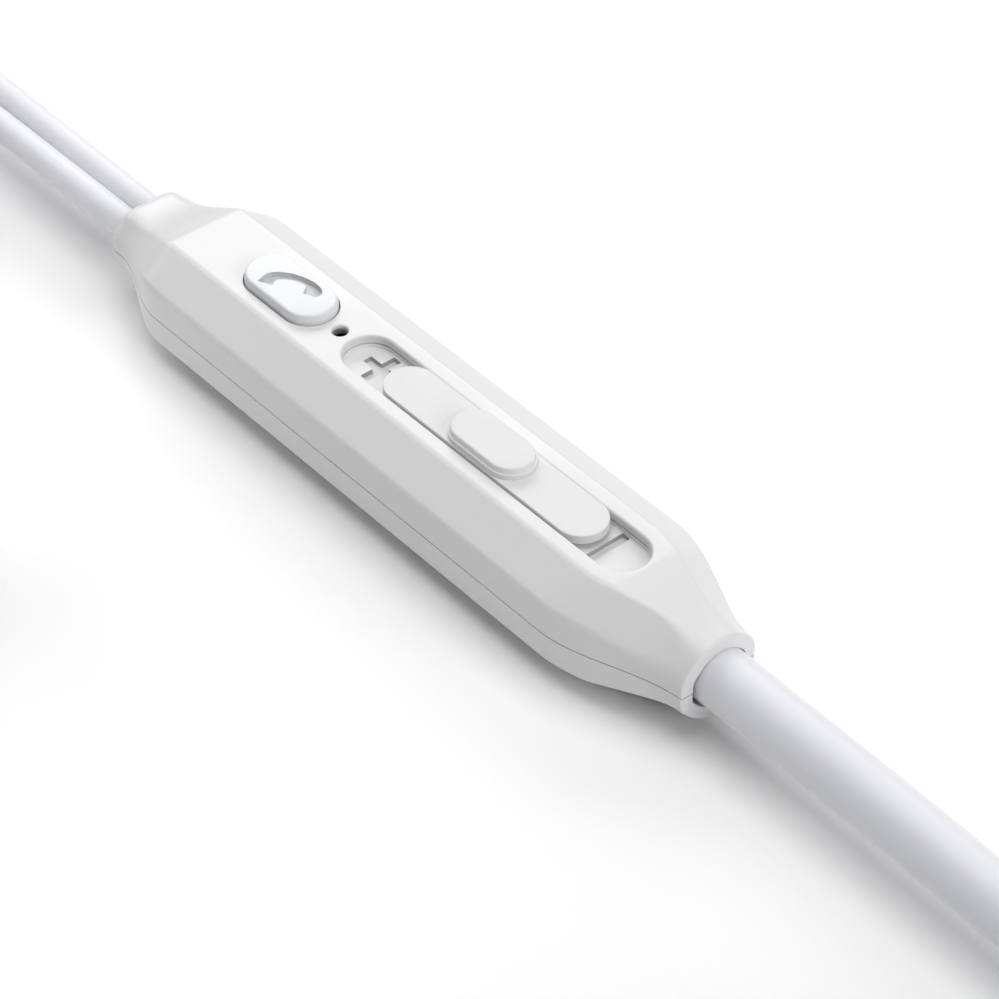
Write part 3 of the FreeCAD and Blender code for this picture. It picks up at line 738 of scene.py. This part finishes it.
def make_shell(name, sign, drop, node):
    """One half of the remote: its outside, its hollow and, on the upper half, its three holes."""
    bm = bmesh.new()
    outer, inner = shell_rows(sign, drop)
    skin(bm, outer)
    skin(bm, inner)
    bmesh.ops.remove_doubles(bm, verts=bm.verts, dist=WELD)
    for x in (-END_X, END_X):
        rim = [e for e in bm.edges
               if e.is_boundary and all(abs(v.co.x - x) < ON_PLANE for v in e.verts)]
        fill(bm, rim, (1, 0, 0))
    if sign > 0:
        top_rim = open_flat(bm, TOP_Z)
        under_rim = open_flat(bm, TOP_Z - WALL)
        for hole, lip in HOLE_LIPS:
            above, below = hole_rim(bm, hole, lip, TOP_Z, TOP_Z - WALL)
            top_rim += above
            under_rim += below
        fill(bm, top_rim)
        fill(bm, under_rim)
    return make_piece(name, bm, "remote", "shell", [node])


# ---------------------------------------------------------------- remote: tray and controls
TRAY_FLOOR = 5.05
TRAY_FLANGE = 0.30                     # how far the tray reaches under the shell
TRAY_BOTTOM = extent("symbol_tray")[0].z
TRAY_TOP = TOP_Z - WALL - 0.08         # leaves a fine shadow line under the shell
ENGRAVING = 0.25                       # depth of the plus and the minus
SYMBOL_BAR = 0.49
SYMBOL_Y = 0.19
PLUS_X = -2.58
PLUS_LENGTH = 1.96
MINUS_X = 12.77
MINUS_LENGTH = 2.10
LEVER_SLOT = {"x": 5.37, "y": 0, "length": 9.4, "width": 1.5}

BUTTON_SIZE = (5.33, 2.70)
BUTTON_UNDER = TOP_Z - WALL - 0.03     # top of the button's flange, clear of the shell
BUTTON_FLANGE = (0.30, 0.35)           # its reach and its height
BUTTON_STEM = 1.5
ICON_DEPTH = 0.28
ICON_REACH = (1.6, 1.1)                # the sign lies within this of the button's middle

BOOT_WIDTH = 0.72
PLATE_BOTTOM = 5.38
LEVER_FOOT = (3.6, 1.1)                # the plate's foot in the tray's slot
PAD_STEP = 0.27                        # height of the step round the thumb pad


def recess(bm, line, top, depth, wall_material=0):
    """Walls and bottom of a sunk outline; returns its upper edges."""
    above, below = skin(bm, [at_height(line, top), at_height(line, top - depth)], closed=True)
    for edge in above:
        for face in edge.link_faces:
            face.material_index = wall_material
    fill(bm, below)
    return above


def bar_outline(x, along, across):
    """Corners of one bar centred on the symbols' line."""
    half_x = along / 2
    half_y = across / 2
    return [(x - half_x, SYMBOL_Y - half_y), (x + half_x, SYMBOL_Y - half_y),
            (x + half_x, SYMBOL_Y + half_y), (x - half_x, SYMBOL_Y + half_y)]


def plus_outline(x, length, bar):
    """Corners of a cross, one arm after another."""
    far = length / 2
    near = bar / 2
    arm = [(far, -near), (far, near), (near, near)]
    corners = []
    for quarter_turn in range(4):
        spin = Matrix.Rotation(math.pi / 2 * quarter_turn, 2)
        corners += [spin @ Vector(p) + Vector((x, SYMBOL_Y)) for p in arm]
    return corners


def make_tray():
    """The slot's floor with its plus, minus and lever slot; the plus's and minus's walls take a
    darker material, painted shade in the engraving.
    """
    bm = bmesh.new()
    wall = (SLOT["x"], 0, SLOT["length"], SLOT["width"])
    profile = [(-TRAY_FLANGE, TRAY_BOTTOM), (-TRAY_FLANGE, TRAY_TOP), (-0.05, TRAY_TOP),
               (-0.015, TRAY_TOP - 0.012), (0, TRAY_TOP - 0.05), (0, TRAY_FLOOR)]
    bottom, floor_rim = skin(bm, oval_rows(wall, profile), closed=True)
    lever_rows = [at_height(stadium(**LEVER_SLOT), z) for z in (TRAY_FLOOR, TRAY_BOTTOM)]
    lever_top, lever_bottom = skin(bm, lever_rows, closed=True)
    plus = rounded_loop(plus_outline(PLUS_X, PLUS_LENGTH, SYMBOL_BAR), 0.06)
    minus = rounded_loop(bar_outline(MINUS_X, SYMBOL_BAR, MINUS_LENGTH), 0.08)
    floor_edges = floor_rim + lever_top
    # painted shade: the engraved walls take material 1, the darker grey
    floor_edges += recess(bm, plus, TRAY_FLOOR, ENGRAVING, wall_material=1)
    floor_edges += recess(bm, minus, TRAY_FLOOR, ENGRAVING, wall_material=1)
    fill(bm, floor_edges)
    fill(bm, bottom + lever_bottom)
    tray = make_piece("engraved_tray", bm, "remote", "tray", ["symbol_tray"])
    # the painted shade of the engraved walls
    tray.data.materials.append(FINISH["engraving_painted_shade"])


def button_icon(centre_x):
    """A plain handset sign, in line with the button: an arch with a foot at each end."""
    corners = [
        (-1.20, -1.02), (-0.50, -0.68), (-0.72, -0.36), (-0.56, -0.06), (-0.16, 0.27),
        (0.32, 0.44), (0.56, 0.46), (0.86, 0.02), (1.49, 0.27), (1.50, 0.66), (1.14, 0.89),
        (0.60, 0.92), (-0.01, 0.78), (-0.60, 0.54), (-1.12, 0.12), (-1.40, -0.30),
    ]
    radii = [0.07, 0.06, 0.15, 0.7, 0.8, 0.8, 0.06, 0.06,
             0.12, 0.35, 0.8, 0.9, 0.9, 0.9, 0.9, 0.7]
    return [p + Vector((centre_x, 0)) for p in rounded_loop(corners, radii)]


def make_call_button():
    """The oval button: its cap with the sunk sign, whose walls and floor are painted grey as
    painted shade, a flange under the shell, and a stem.
    """
    bm = bmesh.new()
    low, high = extent("call_button")
    x, top = middle("call_button").x, high.z
    reach, height = BUTTON_FLANGE
    bottom = BUTTON_UNDER - height
    profile = [(-reach, bottom), (-reach, BUTTON_UNDER), (0, BUTTON_UNDER),
               (0, 5.84), (0.02, 5.95), (0.045, 6.02)] + rim_profile(0.05, top, 0.13)
    below, above = skin(bm, oval_rows((x, 0, *BUTTON_SIZE), profile), closed=True)
    fill(bm, above + recess(bm, button_icon(x), top, ICON_DEPTH))
    # painted shade: the faces down in the sign's recess take the grey material 1
    for face in bm.faces:
        spot = face.calc_center_median()
        sign_shade_face = abs(spot.x - x) < ICON_REACH[0] and abs(spot.y) < ICON_REACH[1]
        if sign_shade_face and top - 1.1 * ICON_DEPTH < spot.z < top - 0.01:
            face.material_index = 1
    stem = [at_height(round_line(x, 0, BUTTON_STEM), z) for z in (bottom, low.z)]
    stem_top, stem_bottom = skin(bm, stem, closed=True)
    fill(bm, stem_bottom)
    fill(bm, below + stem_top)
    key = make_piece("call_key", bm, "call_button", "button", ["call_button"])
    # the painted shade of the sign's recess
    key.data.materials.append(FINISH["sign"])


def make_microphone_boot():
    """The dark soft sleeve down the microphone's hole."""
    low = extent("microphone_boot")[0]
    outline = (MIC_HOLE["x"], 0, BOOT_WIDTH + 2 * NEAR_ROUND, BOOT_WIDTH)
    profile = [(0.1, low.z), (-0.2, low.z), (-0.2, 5.30), (0.0, 5.30), (0.0, 5.52),
               (0.02, 5.56), (0.05, 5.56), (0.06, 5.52), (0.06, 5.02)]
    bm = bmesh.new()
    foot, gauze = skin(bm, oval_rows(outline, profile), closed=True)
    fill(bm, gauze)
    fill(bm, foot)
    make_piece("boot_sleeve", bm, "remote", "inner_plastic", ["microphone_boot"])


def make_slider():
    """The sliding plate with its foot in the tray, and the thumb pad with a fine step round it."""
    low, high = extent("slider_plate")
    plate = ((low.x + high.x) / 2, 0, high.x - low.x, high.y - low.y)
    bm = bmesh.new()
    profile = [(0, PLATE_BOTTOM)] + rim_profile(0, high.z, 0.06)
    below, above = skin(bm, oval_rows(plate, profile), closed=True)
    fill(bm, above)
    foot = [at_height(stadium(plate[0], 0, *LEVER_FOOT), z) for z in (PLATE_BOTTOM, low.z)]
    foot_top, foot_bottom = skin(bm, foot, closed=True)
    fill(bm, foot_bottom)
    fill(bm, below + foot_top)
    make_piece("sliding_plate", bm, "volume_slider", "slider", ["slider_plate"])
    low, high = extent("thumb_pad")
    pad = ((low.x + high.x) / 2, 0, high.x - low.x, high.y - low.y)
    step_z = low.z + PAD_STEP
    bm = bmesh.new()
    profile = [(0, low.z)] + rim_profile(0, step_z, 0.05)[:-1]
    profile += [(0.065, step_z), (0.075, step_z + 0.02), (0.095, high.z - 0.16)]
    profile += rim_profile(0.10, high.z, 0.10)[1:]
    below, above = skin(bm, oval_rows(pad, profile), closed=True)
    fill(bm, above)
    fill(bm, below)
    make_piece("grip_pad", bm, "volume_slider", "slider", ["thumb_pad"])


# ---------------------------------------------------------------- turned pieces: plug and earbuds
SLOT_OF = {part["node"]: part["material_slot"] for part in frame["record"]["subparts"]}

# where along one pitch, and how deep, the four corners of a relief's rib lie
RIB = ((0.08, 0), (0.56, 0), (0.66, 1), (0.98, 1))

PLUG_TIP = (95.8, -1.2, 12.2)
PLUG_RADIUS = 1.75
PLUG_CORE = 0.9

BUD_TILT = 8.0                         # degrees that a bud's front points up by
BUD_FRONT_Z = 6.34
BUDS = {"left": ((-90.3, -2.0), 0.0), "right": ((-11.6, -18.5), math.pi)}


def turned(name, outlines, place, node, closed=True, steps=72):
    """A piece spun about its own X axis from (along, radius) outlines, then put in its place."""
    bm = bmesh.new()
    edges = []
    for outline in outlines:
        edges += chain(bm, [(p.x, 0, p.y) for p in outline], closed)
    bmesh.ops.spin(bm, geom=list(bm.verts) + edges, cent=(0, 0, 0), axis=(1, 0, 0),
                   angle=2 * math.pi, steps=steps, use_merge=True)
    bmesh.ops.transform(bm, matrix=place, verts=bm.verts)
    return make_piece(name, bm, "remote", SLOT_OF[node], [node])


def ribs(start, end, first, last, count, depth):
    """(along, radius) corners of a ribbed taper."""
    corners = []
    pitch = (end - start) / count
    for i in range(count):
        for share, sunk in RIB:
            u = start + (i + share) * pitch
            radius = first + (last - first) * (u - start) / (end - start)
            corners.append((u, radius - sunk * depth))
    return corners


def plug_band(start, end):
    """Outline of one ring round the plug's core."""
    corners = [(start, PLUG_CORE), (start, PLUG_RADIUS), (end, PLUG_RADIUS), (end, PLUG_CORE)]
    return rounded_loop(corners, 0.03, 3)


def make_plug():
    """The plug's contacts, its grip and its ribbed relief, each measured back from its tip."""
    place = Matrix.Translation(PLUG_TIP) @ Matrix.Rotation(math.pi, 4, "Z")
    tip = [(0, 0), (0, 0.45), (0.9, 1.55), (1.5, 1.75), (2.0, 1.75), (2.7, 1.3), (3.2, 1.3),
           (3.45, 1.75), (3.6, 1.75), (3.6, 0)]
    tip_radii = [0.2, 1.0, 0.6, 0.5, 0.25, 0.15, 0.04, 0.03]
    sleeve = [(9.6, 0.9), (9.6, 1.75), (14.0, 1.75), (14.0, 2.6), (14.8, 2.6), (14.8, 0.9)]
    sleeve_radii = [0.03, 0.04, 0.15, 0.08, 0.08, 0.03]
    spacers = [plug_band(start, start + 0.6) for start in (3.6, 6.3, 9.0)]
    grip = [(14.8, 0.9), (14.8, 2.25), (15.5, 3.1), (17.4, 3.1), (17.8, 2.9), (18.4, 2.9),
            (18.8, 3.1), (19.8, 3.1), (20.2, 2.9), (20.8, 2.9), (21.2, 3.1), (23.6, 3.1),
            (27, 2.5), (27, 0.9)]
    grip_radii = [0.1, 0.2, 0.6] + [0.25] * 8 + [1.5, 0.35, 0.1]
    relief = [(26.9, 0), (26.9, 2.3), (27.4, 2.3)] + ribs(27.6, 37.2, 2.25, 1.85, 8, 0.32)
    relief += [(38, 1.80), (38, 1.42), (33.5, 1.42), (33.5, 0)]
    return [
        turned("contact_tip", [rounded(tip, tip_radii, 6)], place, "plug_tip", closed=False),
        turned("contact_first", [plug_band(4.2, 6.3)], place, "plug_ring_left"),
        turned("contact_second", [plug_band(6.9, 9.0)], place, "plug_ring_right"),
        turned("contact_sleeve", [rounded_loop(sleeve, sleeve_radii, 4)], place, "plug_sleeve"),
        turned("contact_spacers", spacers, place, "plug_insulators"),
        turned("moulded_grip", [rounded_loop(grip, grip_radii)], place, "plug_grip"),
        turned("plug_boot", [rounded(relief, 0.10, 3)], place, "plug_strain_relief", closed=False),
    ]


def make_bud(side, spot, heading):
    """One earbud, measured back from the front of its soft tip."""
    place = Matrix.Translation((*spot, BUD_FRONT_Z)) @ Matrix.Rotation(heading, 4, "Z")
    place = place @ Matrix.Rotation(math.radians(BUD_TILT), 4, "Y")
    tip = [(0.3, 2.15), (0.3, 2.75), (1.2, 3.95), (3.0, 5.05), (5.0, 5.5), (7.0, 5.35), (7.0, 5.05),
           (5.0, 5.1), (3.2, 4.6), (1.9, 3.7), (1.5, 2.85), (6.4, 2.85), (6.4, 2.15)]
    tip_radii = [0.15, 0.5, 1.5, 2.0, 2.5, 0.14, 0.14, 2.0, 2.0, 0.8, 0.5, 0.2, 0.1]
    front = [(1.0, 1.6), (1.0, 2.1), (1.5, 2.1), (6.5, 2.1), (6.6, 3.1), (7.7, 4.9), (9.62, 4.9),
             (9.62, 4.75), (9.76, 4.75), (9.76, 4.3), (8.0, 4.3), (7.2, 1.6)]
    front_radii = [0.1, 0.15, 0.1, 0.4, 0.5, 1.1, 0.05, 0.02, 0.02, 0.05, 0.1, 0.1]
    rear = [(9.76, 4.3), (9.76, 4.75), (9.90, 4.75), (9.90, 4.9), (12.2, 4.5), (14.6, 2.75),
            (16.0, 2.25), (16.0, 1.3), (14.6, 1.3), (11.8, 3.7)]
    rear_radii = [0.05, 0.02, 0.02, 0.05, 2.4, 1.6, 0.3, 0.1, 0.1, 1.0]
    relief = [(14.9, 0.76), (14.9, 1.25), (15.9, 1.25), (15.9, 1.75), (16.5, 1.75)]
    relief += ribs(16.7, 21.4, 1.66, 1.14, 6, 0.22) + [(22, 1.05), (22, 0.76)]
    for piece, node, outline, steps in (
            ("_tip", "_ear_tip", rounded_loop(tip, tip_radii, 10), 96),
            ("_housing", "_front_housing", rounded_loop(front, front_radii, 8), 96),
            ("_cover", "_rear_cover", rounded_loop(rear, rear_radii, 8), 96),
            ("_boot", "_bud_strain_relief", rounded_loop(relief, 0.07, 3), 48)):
        turned(side + piece, [outline], place, side + node, steps=steps)


# ---------------------------------------------------------------- ties
STRAP = 0.50                           # thickness
STRAP_EDGE = 0.18                      # rounding of its edges
STRAP_CORNER = 1.4
TONGUE_LONGEST = 8.0
TONGUE_SHARE = 0.6                     # of the strap's width across the hank, if that is shorter
TONGUE_SIDE = 0.5                      # how much narrower the tongue is than the strap
TONGUE_SINK = 0.2
TONGUE_TOP = 0.45
STUD_Y = 1.2                           # from the tongue's middle
STUD = ((0.62, 0.45), (0.60, 0.60), (0.50, 0.70), (0.30, 0.75))    # (radius, height) steps


def make_tie(name, node):
    """A soft strap round a hank, its tongue held down by a round stud on top."""
    low, high = extent(node)
    x, y = (low.x + high.x) / 2, (low.y + high.y) / 2
    half = (high.x - low.x) / 2
    strap_form = [(-half, 0), (half, 0), (half, STRAP), (-half, STRAP)]
    rows = []
    for p in rounded_loop(strap_form, STRAP_EDGE, 4):
        inset = p.y
        y0, y1, z0, z1 = low.y + inset, high.y - inset, low.z + inset, high.z - inset
        loop = rounded_loop([(y0, z0), (y1, z0), (y1, z1), (y0, z1)], STRAP_CORNER - inset, 8)
        rows.append([(x + p.x, q.x, q.y) for q in loop])
    bm = bmesh.new()
    first, last = skin(bm, rows, closed=True)
    bmesh.ops.bridge_loops(bm, edges=first + last)
    strap = make_piece(name, bm, "remote", SLOT_OF[node], [node])
    length = min(TONGUE_LONGEST, TONGUE_SHARE * (high.y - low.y))
    width = 2 * half - TONGUE_SIDE
    rows = []
    for inset, z in [(0, high.z - TONGUE_SINK)] + rim_profile(0, high.z + TONGUE_TOP, STRAP_EDGE):
        line = stadium(0, 0, length - 2 * inset, width - 2 * inset)
        rows.append([(x + q.y, y + q.x, z) for q in line])
    bm = bmesh.new()
    below, above = skin(bm, rows, closed=True)
    fill(bm, below)
    rows = []
    for radius, rise in STUD:
        line = round_line(0, 0, 2 * radius)
        rows.append([(x + q.y, y + STUD_Y + q.x, high.z + rise) for q in line])
    stud_foot, stud_top = skin(bm, rows, closed=True)
    fill(bm, above + stud_foot)
    fill(bm, stud_top)
    return [strap, make_piece(name + "_tongue", bm, "remote", SLOT_OF[node])]


# ---------------------------------------------------------------- the CAD nodes
def dress_nodes():
    """Every CAD node takes the finish of its material slot."""
    for part in frame["record"]["subparts"]:
        node = frame["nodes"][part["node"]]
        material = FINISH[part["material_slot"]]
        node.data.materials.clear()
        node.data.materials.append(material)


# ---------------------------------------------------------------- the whole
GRAIN = grain_group()
FINISH = make_materials()
make_camera()
CORDS = make_cords()
make_lights()
make_floor()
dress_nodes()
make_shell("upper_half", 1, 1.0, "upper_shell")
make_shell("lower_half", -1, LOWER_DROP, "lower_shell")
make_tray()
make_call_button()
make_microphone_boot()
make_slider()
plug_pieces = make_plug()
for side, (spot, heading) in BUDS.items():
    make_bud(side, spot, heading)
main_tie_pieces = make_tie("hank_strap", "main_hank_tie")
make_tie("ear_hank_strap", "ear_hank_tie")

line_length(CORDS["main"])
line_length(CORDS["left"])
line_length(CORDS["right"])
for name, piece in CORDS.items():
    print(name, "cord", round(line_length(piece), 4), "m")
